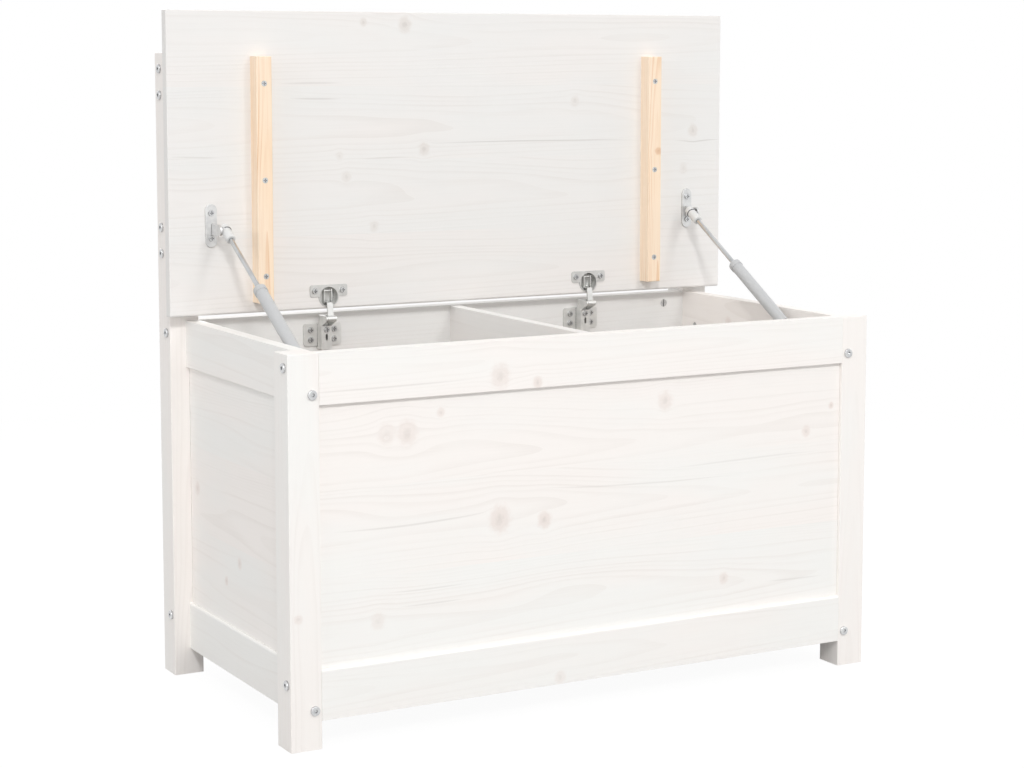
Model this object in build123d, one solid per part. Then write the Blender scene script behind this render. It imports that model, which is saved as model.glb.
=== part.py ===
from build123d import *
import math
import os

# Storage bench: a pine box on four posts, with a lift-up seat lid that is drawn open.
# Millimetres. X runs left to right, Y from the front to the back, Z up from the floor.

# Frame of posts and rails
frame_width = 786.0
frame_depth = 400.0
back_height = 770.0
box_height = 443.5
post_size = 37.5
post_round = 1.0
post_top_round = 0.5
foot_height = 32.0
rail_height = 58.0
front_rail_thickness = 20.0
side_rail_thickness = 17.0
edge_round = 1.0
panel_edge_round = 3.0

# Backrest rails between the tall rear posts
backrest_rail_height = 70.0
backrest_rail_thickness = 18.0
backrest_setback = 12.6
backrest_lower_rise = 63.0

# Panels in grooves
panel_thickness = 8.0
front_panel_recess = 5.0
side_panel_recess = 4.0
rear_panel_recess = 7.5
groove_depth = 6.0
groove_play = 0.25
groove_end_gap = 0.5

# Floor and divider inside the box
cleat_size = 20.0
cleat_height = 50.0
cleat_screw_count = 4
floor_thickness = 9.0
floor_side_gap = 1.0
divider_thickness = 14.0
divider_drop = 1.0

# Connecting bolts and barrel nuts
bolt_diameter = 6.0
bolt_play = 0.2
bolt_past_nut = 8.0
bolt_end_gap = 1.0
bolt_head_diameter = 11.0
bolt_head_height = 2.6
bolt_head_round = 1.0
bolt_key_size = 4.0
bolt_key_depth = 1.6
rail_bolt_drop = 15.0
side_bolt_rise = 12.5
backrest_bolt_pitch = 32.0
nut_diameter = 10.0
nut_length = 13.0
nut_play = 0.1
nut_setback = 31.0
nut_sink = 0.3
nut_slot_width = 1.4
nut_slot_depth = 1.5

# Wood screws
screw_diameter = 3.5
screw_head_diameter = 7.0
screw_head_height = 2.0
screw_play = 0.1
screw_slot_width = 1.0
screw_slot_length = 4.6
screw_slot_depth = 1.1

# Lid, given as it lies when shut
lid_side_overhang = 7.0
lid_front_overhang = 10.0
lid_thickness = 14.0
lid_round = 1.2
lid_rear_round = 3.0
lid_reveal = 1.0
lid_rear_gap = 1.5
pivot_from_edge = 7.0
pivot_above_underside = 13.0

# Battens under the lid
batten_size = 20.0
batten_from_lid_end = 118.0
batten_from_edge = 13.5
batten_from_front_edge = 55.5
batten_screw_inset = 33.0
batten_screw_bite = 9.0
batten_screw_count = 3

# Concealed cup hinges
hinge_from_side_rail = 165.5
cup_diameter = 26.0
cup_depth = 12.0
cup_wall = 0.8
cup_lip_width = 0.6
cup_play = 0.1
cup_from_edge = 15.4
flange_width = 51.0
flange_height = 15.0
flange_thickness = 1.2
flange_from_edge = 23.0
flange_round = 3.0
cup_screw_spacing = 38.0
cup_screw_bite = 9.0
link_width = 7.6
link_thickness = 2.4
link_eye_diameter = 4.4
link_hub_width = 10.8
link_reach = 19.5
link_knee_reach = 16.0
cup_pin_reach = 8.5
hinge_pin_diameter = 3.0
hinge_pin_play = 0.05
hinge_pin_rivet = 0.4
arm_wall = 1.4
arm_link_gap = 0.2
arm_nose_radius = 3.6
arm_flank_depth = 8.0
arm_foot_drop = 45.5
arm_elbow_drop = 15.5
arm_screw_drop = 20.5
arm_screw_seat = 6.0
arm_slot_drop = 30.0
arm_slot_length = 8.0
arm_slot_width = 3.0
plate_width = 52.0
plate_screw_margin = 8.0
plate_thickness = 2.0
plate_round = 4.0
plate_block_depth = 5.0
plate_screw_drop = 21.5
plate_screw_spacing = 32.0
plate_row_pitch = 12.5
plate_screw_bite = 13.0

# Gas struts
strut_from_side_rail = 18.5
ball_diameter = 8.0
ball_play = 0.1
ball_neck_diameter = 5.0
ball_off_lid = 26.0
ball_from_edge = 105.5
socket_diameter = 12.0
socket_length = 20.0
socket_nose = 7.0
socket_round = 1.5
rod_diameter = 6.0
rod_play = 0.05
rod_seat = 9.0
piston_diameter = 10.6
piston_length = 8.0
piston_guard = 8.0
cylinder_diameter = 15.0
cylinder_bore = 11.0
cylinder_end_gap = 4.0
collar_diameter = 16.4
collar_length = 8.0
cylinder_base = 6.0
cylinder_neck = 18.0
cylinder_neck_diameter = 8.0
foot_eye_diameter = 13.0
foot_eye_width = 16.0
foot_eye_gap = 0.3
foot_stud_diameter = 9.0
strut_foot_setback = 83.0
strut_foot_drop = 25.5
bracket_length = 53.0
bracket_width = 15.0
bracket_thickness = 2.0
bracket_round = 0.5
bracket_screw_spacing = 31.0
bracket_screw_bite = 9.5
bracket_from_edge = 110.0
ear_thickness = 2.5
ear_width = 13.0
ear_gap = 0.5

# Places worked out from the sizes above
outer_x = frame_width / 2
inner_x = outer_x - post_size
front_y = -frame_depth / 2
rear_y = frame_depth / 2
rear_inner_y = rear_y - post_size
front_inner_y = front_y + post_size
front_rail_back = front_y + front_rail_thickness
rear_rail_back = rear_inner_y + front_rail_thickness
side_rail_out = inner_x + side_rail_thickness
bottom_rail_top = foot_height + rail_height
top_rail_bottom = box_height - rail_height
floor_underside = cleat_height + cleat_size
floor_top = floor_underside + floor_thickness

lid_underside = box_height + lid_reveal
lid_rear = rear_inner_y - lid_rear_gap
lid_width = frame_width + 2 * lid_side_overhang
lid_depth = lid_rear - front_y + lid_front_overhang
pivot_y = lid_rear - pivot_from_edge
pivot_z = lid_underside + pivot_above_underside
open_face_y = pivot_y - pivot_above_underside
open_edge_z = pivot_z - pivot_from_edge
batten_x = lid_width / 2 - batten_from_lid_end
batten_length = lid_depth - batten_from_edge - batten_from_front_edge
hinge_x = inner_x - hinge_from_side_rail
arm_half_width = link_hub_width / 2 + arm_link_gap + arm_wall
arm_back = rear_inner_y - plate_thickness - plate_block_depth
arm_front = arm_back - arm_flank_depth
arm_foot = box_height - arm_foot_drop
arm_elbow = box_height - arm_elbow_drop
plate_rows = (box_height - plate_screw_drop, box_height - plate_screw_drop - plate_row_pitch)
plate_top = plate_rows[0] + plate_screw_margin
link_pivot = (pivot_y - link_reach, pivot_z - link_reach)

strut_x = inner_x - strut_from_side_rail
ball = (open_face_y - ball_off_lid, open_edge_z + ball_from_edge)
shut_ball = (pivot_y - (ball[1] - pivot_z), pivot_z + (ball[0] - pivot_y))
strut_foot = (front_y + strut_foot_setback, box_height - strut_foot_drop)
open_length = math.dist(ball, strut_foot)
shut_length = math.dist(shut_ball, strut_foot)
cylinder_reach = shut_length - socket_length - cylinder_end_gap
cylinder_top = open_length - cylinder_reach


def block(x_range, y_range, z_range):
    """A box between two limits on each axis."""
    ranges = (x_range, y_range, z_range)
    middle = [(low + high) / 2 for low, high in ranges]
    return Pos(*middle) * Box(*[high - low for low, high in ranges])


def facing(point, outward, across):
    """The place of a fastener on a face: its Z axis points out of the face."""
    return Plane(origin=point, z_dir=outward, x_dir=across).location


def upright_bar(diameter, top, bottom):
    """A round bar on the Z axis between two heights."""
    middle = (top + bottom) / 2
    return Pos(0, 0, middle) * Cylinder(diameter / 2, abs(top - bottom))


def round_long_edges(bar, axis, radius):
    """Eases the four long edges of a bar."""
    longest = bar.edges().filter_by(axis)
    return fillet(longest, radius)


def mirrored(shape):
    """The same piece for the other end of the bench."""
    return mirror(shape, about=Plane.YZ)


# Connecting bolts: seats on the posts' faces, drawn with Z out of the face and X along the nut.
bolt_length = post_size + nut_setback + bolt_past_nut


def bolt():
    head = upright_bar(bolt_head_diameter, bolt_head_height, 0)
    head = fillet(head.edges().sort_by(Axis.Z)[-1], bolt_head_round)
    key_hole = Pos(0, 0, bolt_head_height) * extrude(
        RegularPolygon(bolt_key_size / 2, 6, major_radius=False), amount=-bolt_key_depth
    )
    return head + upright_bar(bolt_diameter, 0, -bolt_length) - key_hole


def bolt_bore():
    return upright_bar(bolt_diameter + 2 * bolt_play, 0, -bolt_length - bolt_end_gap)


def lay_across(shape):
    """Turns a piece from the Z axis to the X axis and moves it to the nut's depth."""
    return Pos(0, 0, -post_size - nut_setback) * Rot(0, 90, 0) * shape


def barrel_nut(rail_thickness):
    top = rail_thickness / 2 - nut_sink
    body = upright_bar(nut_diameter, top, top - nut_length)
    slot = Pos(0, 0, top) * Box(nut_slot_width, nut_diameter, 2 * nut_slot_depth)
    return lay_across(body - slot) - bolt_bore()


def nut_pocket(rail_thickness):
    top = rail_thickness / 2
    depth = nut_sink + nut_length + nut_play
    return lay_across(upright_bar(nut_diameter + 2 * nut_play, top, top - depth))


def end_seats(y, heights, nut_side):
    """Seats on the outer side faces of a pair of posts, for a rail that runs along X."""
    return [
        facing((side * outer_x, y, z), (side, 0, 0), (0, nut_side, 0))
        for side in (-1, 1)
        for z in heights
    ]


def face_seats(side, face_y, outward):
    """Seats on a post's front or rear face, for the two rails of one side of the box."""
    x = side * (inner_x + side_rail_thickness / 2)
    heights = (top_rail_bottom + side_bolt_rise, foot_height + side_bolt_rise)
    return [facing((x, face_y, z), (0, outward, 0), (-side, 0, 0)) for z in heights]


rail_bolt_heights = (box_height - rail_bolt_drop, bottom_rail_top - rail_bolt_drop)
upper_back_z = back_height - backrest_rail_height / 2
lower_back_z = box_height + backrest_lower_rise + backrest_rail_height / 2
backrest_bolt_heights = [
    z + step * backrest_bolt_pitch / 2 for z in (upper_back_z, lower_back_z) for step in (1, -1)
]
backrest_y = rear_inner_y + backrest_setback + backrest_rail_thickness / 2

front_seats = end_seats(front_y + front_rail_thickness / 2, rail_bolt_heights, 1)
rear_seats = end_seats(rear_inner_y + front_rail_thickness / 2, rail_bolt_heights, -1)
backrest_seats = end_seats(backrest_y, backrest_bolt_heights, 1)
side_front_seats = [seat for side in (-1, 1) for seat in face_seats(side, front_y, -1)]
side_rear_seats = [seat for side in (-1, 1) for seat in face_seats(side, rear_y, 1)]


def bores(seats):
    return [seat * bolt_bore() for seat in seats]


def pockets(seats, rail_thickness):
    return [seat * nut_pocket(rail_thickness) for seat in seats]


# Wood screws: drawn with Z out of the surface, the head flush in it or standing on it.
def screw(bite, sunk):
    top = 0 if sunk else screw_head_height
    head = upright_bar(screw_head_diameter, top, top - screw_head_height)
    shank = upright_bar(screw_diameter, top - screw_head_height, -bite)
    slots = [
        Pos(0, 0, top) * Rot(0, 0, turn) * Box(screw_slot_length, screw_slot_width, 2 * screw_slot_depth)
        for turn in (0, 90)
    ]
    return head + shank - slots


def screw_bore(bite, sunk):
    hole = upright_bar(screw_diameter + 2 * screw_play, screw_head_height, -bite - screw_play)
    if sunk:
        head_hole = screw_head_diameter + 2 * screw_play
        hole += upright_bar(head_hole, screw_head_height, -screw_head_height)
    return hole


def screws(places, bite, sunk=False):
    return [place * screw(bite, sunk) for place in places]


def screw_bores(places, bite, sunk=False):
    return [place * screw_bore(bite, sunk) for place in places]


# Panels: the same body with a longer reach and some play is the groove that holds it.
tongue = groove_depth - groove_end_gap


def long_panel(face_y, reach, play):
    return block(
        (-inner_x - reach, inner_x + reach),
        (face_y - play, face_y + panel_thickness + play),
        (bottom_rail_top - reach, top_rail_bottom + reach),
    )


def front_panel(reach=tongue, play=0.0):
    return long_panel(front_y + front_panel_recess, reach, play)


def rear_panel(reach=tongue, play=0.0):
    return long_panel(rear_inner_y + rear_panel_recess, reach, play)


def right_panel(reach=tongue, play=0.0):
    outside = side_rail_out - side_panel_recess
    return block(
        (outside - panel_thickness - play, outside + play),
        (front_inner_y - reach, rear_inner_y + reach),
        (bottom_rail_top - reach, top_rail_bottom + reach),
    )


def groove(panel):
    return panel(groove_depth, groove_play)


# Posts
def right_post(y_range, height, panel, seats):
    post = block((inner_x, outer_x), y_range, (0, height))
    post = round_long_edges(post, Axis.Z, post_round)
    post = fillet(post.faces().sort_by(Axis.Z)[-1].edges(), post_top_round)
    return post - [groove(panel), groove(right_panel)] - bores(seats)


def right_front_post():
    return right_post((front_y, front_inner_y), box_height, front_panel, front_seats + side_front_seats)


def right_rear_post():
    seats = rear_seats + side_rear_seats + backrest_seats
    return right_post((rear_inner_y, rear_y), back_height, rear_panel, seats)


# Rails
def long_rail(y_range, z_bottom, height, seats):
    """A rail along X between two posts, with its bolt holes and nut pockets."""
    rail = block((-inner_x, inner_x), y_range, (z_bottom, z_bottom + height))
    rail = round_long_edges(rail, Axis.X, edge_round)
    return rail - bores(seats) - pockets(seats, y_range[1] - y_range[0])


def rounded_by_panel(rail, axis, point):
    """Rounds the outer edge of a rail where it meets the panel, more on a bottom rail."""
    edge = rail.edges().filter_by(axis).sort_by_distance(point)[0]
    lies_low = point[2] < box_height / 2
    return fillet(edge, panel_edge_round if lies_low else edge_round)


def front_rail(z_bottom, panel_z):
    rail = block(
        (-inner_x, inner_x), (front_y, front_rail_back), (z_bottom, z_bottom + rail_height)
    )
    rail = rounded_by_panel(rail, Axis.X, (0, front_y, panel_z))
    cuts = bores(front_seats) + pockets(front_seats, front_rail_thickness)
    return rail - groove(front_panel) - cuts


def rear_rail(z_bottom):
    rail = long_rail((rear_inner_y, rear_rail_back), z_bottom, rail_height, rear_seats)
    return rail - groove(rear_panel) - screw_bores(plate_screw_places(), plate_screw_bite)


def right_rail(z_bottom, panel_z):
    rail = block(
        (inner_x, side_rail_out), (front_inner_y, rear_inner_y), (z_bottom, z_bottom + rail_height)
    )
    rail = rounded_by_panel(rail, Axis.Y, (side_rail_out, 0, panel_z))
    seats = side_front_seats + side_rear_seats
    cuts = bores(seats) + pockets(seats, side_rail_thickness)
    return rail - groove(right_panel) - cuts - screw_bores(foot_screw_places(), bracket_screw_bite)


def backrest_rail(z_middle):
    y_range = (backrest_y - backrest_rail_thickness / 2, backrest_y + backrest_rail_thickness / 2)
    z_bottom = z_middle - backrest_rail_height / 2
    return long_rail(y_range, z_bottom, backrest_rail_height, backrest_seats)


# Floor, its cleats and the divider
def cleat_screw_places(y, outward):
    z = cleat_height + cleat_size / 2
    pitch = 2 * inner_x / cleat_screw_count
    first = -inner_x + pitch / 2
    return [
        facing((first + n * pitch, y, z), (0, outward, 0), (1, 0, 0)) for n in range(cleat_screw_count)
    ]


cleat_screw_bite = cleat_size + front_rail_thickness / 2
front_cleat_screws = cleat_screw_places(front_rail_back + cleat_size, 1)
rear_cleat_screws = cleat_screw_places(rear_inner_y - cleat_size, -1)


def floor_cleat(y_range, places):
    x_limit = inner_x - floor_side_gap
    cleat = block((-x_limit, x_limit), y_range, (cleat_height, floor_underside))
    return cleat - screw_bores(places, cleat_screw_bite, sunk=True)


def floor_panel():
    return block(
        (-inner_x + floor_side_gap, inner_x - floor_side_gap),
        (front_rail_back + floor_side_gap, rear_inner_y - floor_side_gap),
        (floor_underside, floor_top),
    )


def centre_divider():
    board = block(
        (-divider_thickness / 2, divider_thickness / 2),
        (front_rail_back, rear_inner_y),
        (floor_top, box_height - divider_drop),
    )
    top_edges = board.faces().sort_by(Axis.Z)[-1].edges().filter_by(Axis.Y)
    return fillet(top_edges, edge_round)


# Lid, upright: its underside faces the front, and its rear edge is the lower one.
def batten_screw_places(side):
    pitch = (batten_length - 2 * batten_screw_inset) / (batten_screw_count - 1)
    first = open_edge_z + batten_from_edge + batten_screw_inset
    x = side * batten_x
    face_y = open_face_y - batten_size
    return [
        facing((x, face_y, first + n * pitch), (0, -1, 0), (1, 0, 0)) for n in range(batten_screw_count)
    ]


def cup_screw_places():
    return [
        facing((x, open_face_y - flange_thickness, open_edge_z + flange_from_edge), (0, -1, 0), (1, 0, 0))
        for side in (-1, 1)
        for x in (side * hinge_x - cup_screw_spacing / 2, side * hinge_x + cup_screw_spacing / 2)
    ]


def lid_bracket_screw_places():
    y = open_face_y - bracket_thickness
    middle = open_edge_z + bracket_from_edge
    return [
        facing((side * bracket_x, y, middle + step * bracket_screw_spacing / 2), (0, -1, 0), (1, 0, 0))
        for side in (-1, 1)
        for step in (-1, 1)
    ]


batten_screw_reach = batten_size + batten_screw_bite
batten_screws = batten_screw_places(-1) + batten_screw_places(1)


def cup_hole(side):
    place = facing((side * hinge_x, open_face_y, open_edge_z + cup_from_edge), (0, -1, 0), (1, 0, 0))
    return place * upright_bar(cup_diameter + 2 * cup_play, 0, -cup_depth - cup_play)


def lid_board():
    board = block(
        (-lid_width / 2, lid_width / 2),
        (open_face_y, open_face_y + lid_thickness),
        (open_edge_z, open_edge_z + lid_depth),
    )
    # the underside's rear edge is rounded more, because it dips as the lid swings
    dipping = (0, open_face_y, open_edge_z)
    board = fillet(board.edges().filter_by(Axis.X).sort_by_distance(dipping)[0], lid_rear_round)
    other_long_edges = board.edges().filter_by(Axis.X).sort_by_distance(dipping)[2:]
    end_edges = board.faces().filter_by(Axis.X).edges()
    board = fillet(other_long_edges + end_edges, lid_round)
    holes = screw_bores(batten_screws, batten_screw_reach, sunk=True)
    holes += screw_bores(cup_screw_places(), cup_screw_bite)
    holes += screw_bores(lid_bracket_screw_places(), bracket_screw_bite)
    return board - [cup_hole(-1), cup_hole(1)] - holes


def right_batten():
    bottom = open_edge_z + batten_from_edge
    batten = block(
        (batten_x - batten_size / 2, batten_x + batten_size / 2),
        (open_face_y - batten_size, open_face_y),
        (bottom, bottom + batten_length),
    )
    front = batten.faces().sort_by(Axis.Y)[0]
    batten = fillet(front.edges(), edge_round)
    return batten - screw_bores(batten_screw_places(1), batten_screw_reach, sunk=True)


# Concealed hinges, drawn at X = 0 and moved to their places
def side_view(points_y_z):
    """A closed outline in the Y-Z plane."""
    return Plane.YZ * make_face(Polyline(*points_y_z, close=True))


def side_disc(point_y_z, diameter):
    return Plane.YZ * Pos(*point_y_z) * Circle(diameter / 2)


def side_bar(start, end, width):
    """A bar with round ends between two points of the Y-Z plane."""
    middle = [(a + b) / 2 for a, b in zip(start, end)]
    turn = math.degrees(math.atan2(end[1] - start[1], end[0] - start[0]))
    bar = SlotCenterToCenter(math.dist(start, end), width)
    return Plane.YZ * Pos(*middle) * Rot(0, 0, turn) * bar


def across_x(outline, half_width):
    return extrude(outline, amount=half_width, both=True)


def plate_screw_places():
    return [
        facing((x, rear_inner_y - plate_thickness, z), (0, -1, 0), (1, 0, 0))
        for side in (-1, 1)
        for x in (side * hinge_x - plate_screw_spacing / 2, side * hinge_x + plate_screw_spacing / 2)
        for z in plate_rows
    ]


def arm_screw_places():
    z = box_height - arm_screw_drop
    return [facing((side * hinge_x, arm_front, z), (0, -1, 0), (1, 0, 0)) for side in (-1, 1)]


arm_screw_bite = arm_flank_depth + arm_screw_seat


def hinge_plate(side):
    """Two wings with four screws, and a seat in the middle that the arm is screwed to."""
    wings = block(
        (-plate_width / 2, plate_width / 2),
        (rear_inner_y - plate_thickness, rear_inner_y),
        (plate_rows[1] - plate_screw_margin, plate_top),
    )
    wings = fillet(wings.edges().filter_by(Axis.Y), plate_round)
    seat = block((-arm_half_width, arm_half_width), (arm_back, rear_inner_y), (arm_foot, plate_top))
    plate = Pos(side * hinge_x, 0, 0) * (wings + seat)
    plate -= screw_bores(plate_screw_places(), plate_screw_bite)
    return plate - screw_bores(arm_screw_places(), arm_screw_bite)


def hinge_arm(side):
    """A folded channel: its web faces the front low down, and its nose is open for the link."""
    nose_y, nose_z = link_pivot
    outline = side_view(
        [
            (arm_back, arm_foot),
            (arm_front, arm_foot),
            (arm_front, arm_elbow),
            (nose_y, nose_z - arm_nose_radius),
            (nose_y, nose_z + arm_nose_radius),
            (arm_back, nose_z + arm_nose_radius),
        ]
    )
    body = across_x(outline + side_disc(link_pivot, 2 * arm_nose_radius), arm_half_width)
    inside = (arm_wall - arm_half_width, arm_half_width - arm_wall)
    channel = block(inside, (arm_front + arm_wall, arm_back), (arm_foot, arm_elbow))
    nose_slot = block(inside, (front_y, arm_back - arm_wall), (arm_elbow, pivot_z))
    pin_hole = across_x(side_disc(link_pivot, hinge_pin_diameter + 2 * hinge_pin_play), outer_x)
    slot_middle = (0, arm_front, box_height - arm_slot_drop)
    web_slot = facing(slot_middle, (0, -1, 0), (0, 0, 1)) * extrude(
        SlotOverall(arm_slot_length, arm_slot_width), amount=-2 * arm_wall
    )
    arm = Pos(side * hinge_x, 0, 0) * (body - channel - nose_slot - pin_hole - web_slot)
    return arm - screw_bores(arm_screw_places(), arm_screw_bite)


def hinge_pin(side):
    pin = across_x(side_disc(link_pivot, hinge_pin_diameter), arm_half_width + hinge_pin_rivet)
    return Pos(side * hinge_x, 0, 0) * pin


def hinge_link(side):
    knee = (pivot_y - link_knee_reach, pivot_z)
    tip = (pivot_y - cup_pin_reach, pivot_z)
    eye = hinge_pin_diameter + 2 * link_thickness
    outline = side_bar(link_pivot, knee, link_thickness) + side_bar(knee, tip, link_thickness)
    outline += side_disc(tip, link_eye_diameter)
    hub = side_disc(link_pivot, eye)
    bore = side_disc(link_pivot, hinge_pin_diameter + 2 * hinge_pin_play)
    link = across_x(outline, link_width / 2) + across_x(hub, link_hub_width / 2)
    return Pos(side * hinge_x, 0, 0) * (link - across_x(bore, link_hub_width))


def hinge_cup(side):
    """The cup in the lid with its screw flange, drawn with Z out of the lid's underside."""
    offset = flange_from_edge - cup_from_edge
    flange = Pos(0, offset, flange_thickness / 2) * Box(flange_width, flange_height, flange_thickness)
    flange = fillet(flange.edges().filter_by(Axis.Z), flange_round)
    lip = upright_bar(cup_diameter + 2 * cup_lip_width, flange_thickness, 0)
    cup = upright_bar(cup_diameter, 0, -cup_depth)
    inside = upright_bar(cup_diameter - 2 * cup_wall, flange_thickness, -cup_depth + cup_wall)
    place = facing((side * hinge_x, open_face_y, open_edge_z + cup_from_edge), (0, -1, 0), (1, 0, 0))
    return place * (flange + lip + cup - inside) - screw_bores(cup_screw_places(), cup_screw_bite)


# Gas struts, right-hand one, drawn down its own axis from the ball
bracket_x = strut_x + socket_diameter / 2 + ear_gap + ear_thickness


def strut_place():
    run = (0, strut_foot[0] - ball[0], strut_foot[1] - ball[1])
    return facing((strut_x, *ball), run, (1, 0, 0))


def bracket_plate():
    plate = extrude(SlotOverall(bracket_length, bracket_width), amount=bracket_thickness)
    return fillet(plate.edges().group_by(Axis.Z)[-1], bracket_round)


def ball_stud(reach):
    """A ball on a neck that runs up the Z axis from the ball's middle."""
    radius = ball_diameter / 2
    neck = ball_neck_diameter / 2
    shoulder = math.sqrt(radius**2 - neck**2)
    round_side = ThreePointArc((0, -radius), (radius, 0), (neck, shoulder))
    neck_side = Polyline((neck, shoulder), (neck, reach), (0, reach), (0, -radius))
    return revolve(Plane.XZ * make_face([round_side, neck_side]), Axis.Z)


def right_lid_bracket():
    """A plate on the lid with an ear that carries the ball stud."""
    place = facing((bracket_x, open_face_y, open_edge_z + bracket_from_edge), (0, -1, 0), (0, 0, 1))
    outline = side_bar((open_face_y - bracket_thickness, ball[1]), ball, ear_width)
    outline &= side_view(
        [
            (ball[0] - ear_width, ball[1] - ear_width),
            (open_face_y - bracket_thickness, ball[1] - ear_width),
            (open_face_y - bracket_thickness, ball[1] + ear_width),
            (ball[0] - ear_width, ball[1] + ear_width),
        ]
    )
    ear = Pos(bracket_x - ear_thickness, 0, 0) * extrude(outline, amount=ear_thickness)
    stud = Pos(strut_x, *ball) * Rot(0, 90, 0) * ball_stud(bracket_x - strut_x)
    bracket = place * bracket_plate() + ear + stud
    return bracket - screw_bores(lid_bracket_screw_places(), bracket_screw_bite)


def right_socket():
    body = upright_bar(socket_diameter, -socket_nose, socket_length)
    body = fillet(body.edges().filter_by(GeomType.CIRCLE), socket_round)
    recess = ball_diameter / 2 + ball_play
    mouth = Rot(0, 90, 0) * upright_bar(2 * recess, socket_diameter, 0)
    rod_hole = upright_bar(rod_diameter + 2 * rod_play, rod_seat, socket_length)
    return strut_place() * (body - Sphere(recess) - mouth - rod_hole)


def right_rod():
    end = cylinder_top + collar_length + piston_guard
    rod = upright_bar(rod_diameter, rod_seat, end)
    return strut_place() * (rod + upright_bar(piston_diameter, end, end + piston_length))


def right_cylinder():
    base = open_length - cylinder_neck
    body = upright_bar(cylinder_diameter, cylinder_top, base)
    body += upright_bar(collar_diameter, cylinder_top, cylinder_top + collar_length)
    body = fillet(body.edges().filter_by(GeomType.CIRCLE).sort_by(Axis.Z)[0], edge_round)
    body += upright_bar(cylinder_neck_diameter, base, open_length)
    eye = Rot(0, 90, 0) * upright_bar(foot_eye_diameter, foot_eye_width / 2, -foot_eye_width / 2)
    body += Pos(0, 0, open_length) * eye
    bore = upright_bar(cylinder_bore, cylinder_top + collar_length, base - cylinder_base)
    rod_hole = upright_bar(rod_diameter + 2 * rod_play, cylinder_top, base - cylinder_base)
    return strut_place() * (body - bore - rod_hole)


def foot_screw_places():
    return [
        facing((inner_x - bracket_thickness, strut_foot[0] + step, strut_foot[1]), (-1, 0, 0), (0, 1, 0))
        for step in (-bracket_screw_spacing / 2, bracket_screw_spacing / 2)
    ]


def right_foot_bracket():
    """A plate on the side rail with a stud that ends just short of the strut's eye."""
    place = facing((inner_x, *strut_foot), (-1, 0, 0), (0, 1, 0))
    reach = inner_x - strut_x - foot_eye_width / 2 - foot_eye_gap
    bracket = place * (bracket_plate() + upright_bar(foot_stud_diameter, reach, 0))
    return bracket - screw_bores(foot_screw_places(), bracket_screw_bite)


def pair(name, right):
    """The left and right versions of one piece."""
    return {f"left_{name}": mirrored(right), f"right_{name}": right}


def both_sides(right_list):
    return right_list + [mirrored(shape) for shape in right_list]


def placed(seats, shape):
    return [seat * shape for seat in seats]


def bench():
    """Every piece by name; a list is a group of separate like pieces."""
    pieces = {}
    for end, right in (("front", right_front_post()), ("rear", right_rear_post())):
        pieces[f"{end}_left_post"] = mirrored(right)
        pieces[f"{end}_right_post"] = right
    for level, z, panel_z in (
        ("top", top_rail_bottom, top_rail_bottom),
        ("bottom", foot_height, bottom_rail_top),
    ):
        pieces[f"front_{level}_rail"] = front_rail(z, panel_z)
        pieces[f"rear_{level}_rail"] = rear_rail(z)
        pieces.update(pair(f"{level}_rail", right_rail(z, panel_z)))
    pieces["front_bottom_rail"] -= screw_bores(front_cleat_screws, cleat_screw_bite)
    pieces["rear_bottom_rail"] -= screw_bores(rear_cleat_screws, cleat_screw_bite)
    pieces["front_panel"] = front_panel()
    pieces["rear_panel"] = rear_panel()
    pieces.update(pair("panel", right_panel()))
    pieces["backrest_top_rail"] = backrest_rail(upper_back_z)
    pieces["backrest_lower_rail"] = backrest_rail(lower_back_z)
    pieces["front_floor_cleat"] = floor_cleat(
        (front_rail_back, front_rail_back + cleat_size), front_cleat_screws
    )
    pieces["rear_floor_cleat"] = floor_cleat((rear_inner_y - cleat_size, rear_inner_y), rear_cleat_screws)
    pieces["floor_cleat_screws"] = screws(front_cleat_screws + rear_cleat_screws, cleat_screw_bite, True)
    pieces["floor_panel"] = floor_panel()
    pieces["centre_divider"] = centre_divider()

    pieces["front_rail_bolts"] = placed(front_seats, bolt())
    pieces["rear_rail_bolts"] = placed(rear_seats, bolt())
    pieces["side_rail_front_bolts"] = placed(side_front_seats, bolt())
    pieces["side_rail_rear_bolts"] = placed(side_rear_seats, bolt())
    pieces["backrest_bolts"] = placed(backrest_seats, bolt())
    pieces["front_rail_nuts"] = placed(front_seats, barrel_nut(front_rail_thickness))
    pieces["rear_rail_nuts"] = placed(rear_seats, barrel_nut(front_rail_thickness))
    side_seats = side_front_seats + side_rear_seats
    pieces["side_rail_nuts"] = placed(side_seats, barrel_nut(side_rail_thickness))
    pieces["backrest_nuts"] = placed(backrest_seats, barrel_nut(backrest_rail_thickness))

    pieces["lid_board"] = lid_board()
    pieces.update(pair("batten", right_batten()))
    pieces["batten_screws"] = screws(batten_screws, batten_screw_reach, True)
    for word, side in (("left", -1), ("right", 1)):
        pieces[f"{word}_hinge_plate"] = hinge_plate(side)
        pieces[f"{word}_hinge_arm"] = hinge_arm(side)
        pieces[f"{word}_hinge_link"] = hinge_link(side)
        pieces[f"{word}_hinge_cup"] = hinge_cup(side)
    pieces["hinge_arm_pins"] = [hinge_pin(-1), hinge_pin(1)]
    pieces["hinge_plate_screws"] = screws(plate_screw_places(), plate_screw_bite)
    pieces["hinge_arm_screws"] = screws(arm_screw_places(), arm_screw_bite)
    pieces["hinge_cup_screws"] = screws(cup_screw_places(), cup_screw_bite)

    pieces.update(pair("strut_lid_bracket", right_lid_bracket()))
    pieces.update(pair("strut_socket", right_socket()))
    pieces.update(pair("strut_rod", right_rod()))
    pieces.update(pair("strut_cylinder", right_cylinder()))
    pieces.update(pair("strut_foot_bracket", right_foot_bracket()))
    pieces["strut_lid_screws"] = screws(lid_bracket_screw_places(), bracket_screw_bite)
    pieces["strut_foot_screws"] = both_sides(screws(foot_screw_places(), bracket_screw_bite))
    return pieces


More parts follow.
